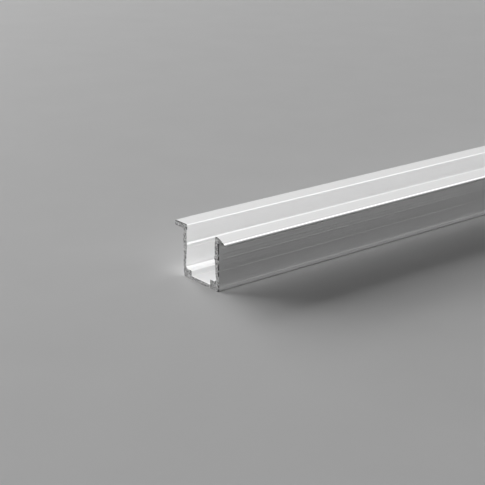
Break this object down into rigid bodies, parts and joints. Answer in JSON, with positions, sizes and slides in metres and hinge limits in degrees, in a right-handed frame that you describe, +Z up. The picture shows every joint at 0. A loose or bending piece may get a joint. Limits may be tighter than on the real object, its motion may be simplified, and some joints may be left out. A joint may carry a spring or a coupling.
{
  "type": "aluminium extrusion profile",
  "caption": "Straight aluminium U channel with outward flanges along the wall tops, snap ridges inside the walls and shoulders beside a flat strip bed, for recessing a light strip.",
  "frame": {"origin": "under the base, at the middle of the width and of the length", "axes": "+X across the section, +Y along the stock, +Z up out of the open side of the channel"},
  "size_m": [0.025, 0.5, 0.0155],
  "materials": {
    "anodised_aluminium": "satin silver, with fine die lines along the length and bare rough sawn ends"
  },
  "bodies": {
    "root": {"channel_profile": "anodised_aluminium"}
  },
  "joints": []
}
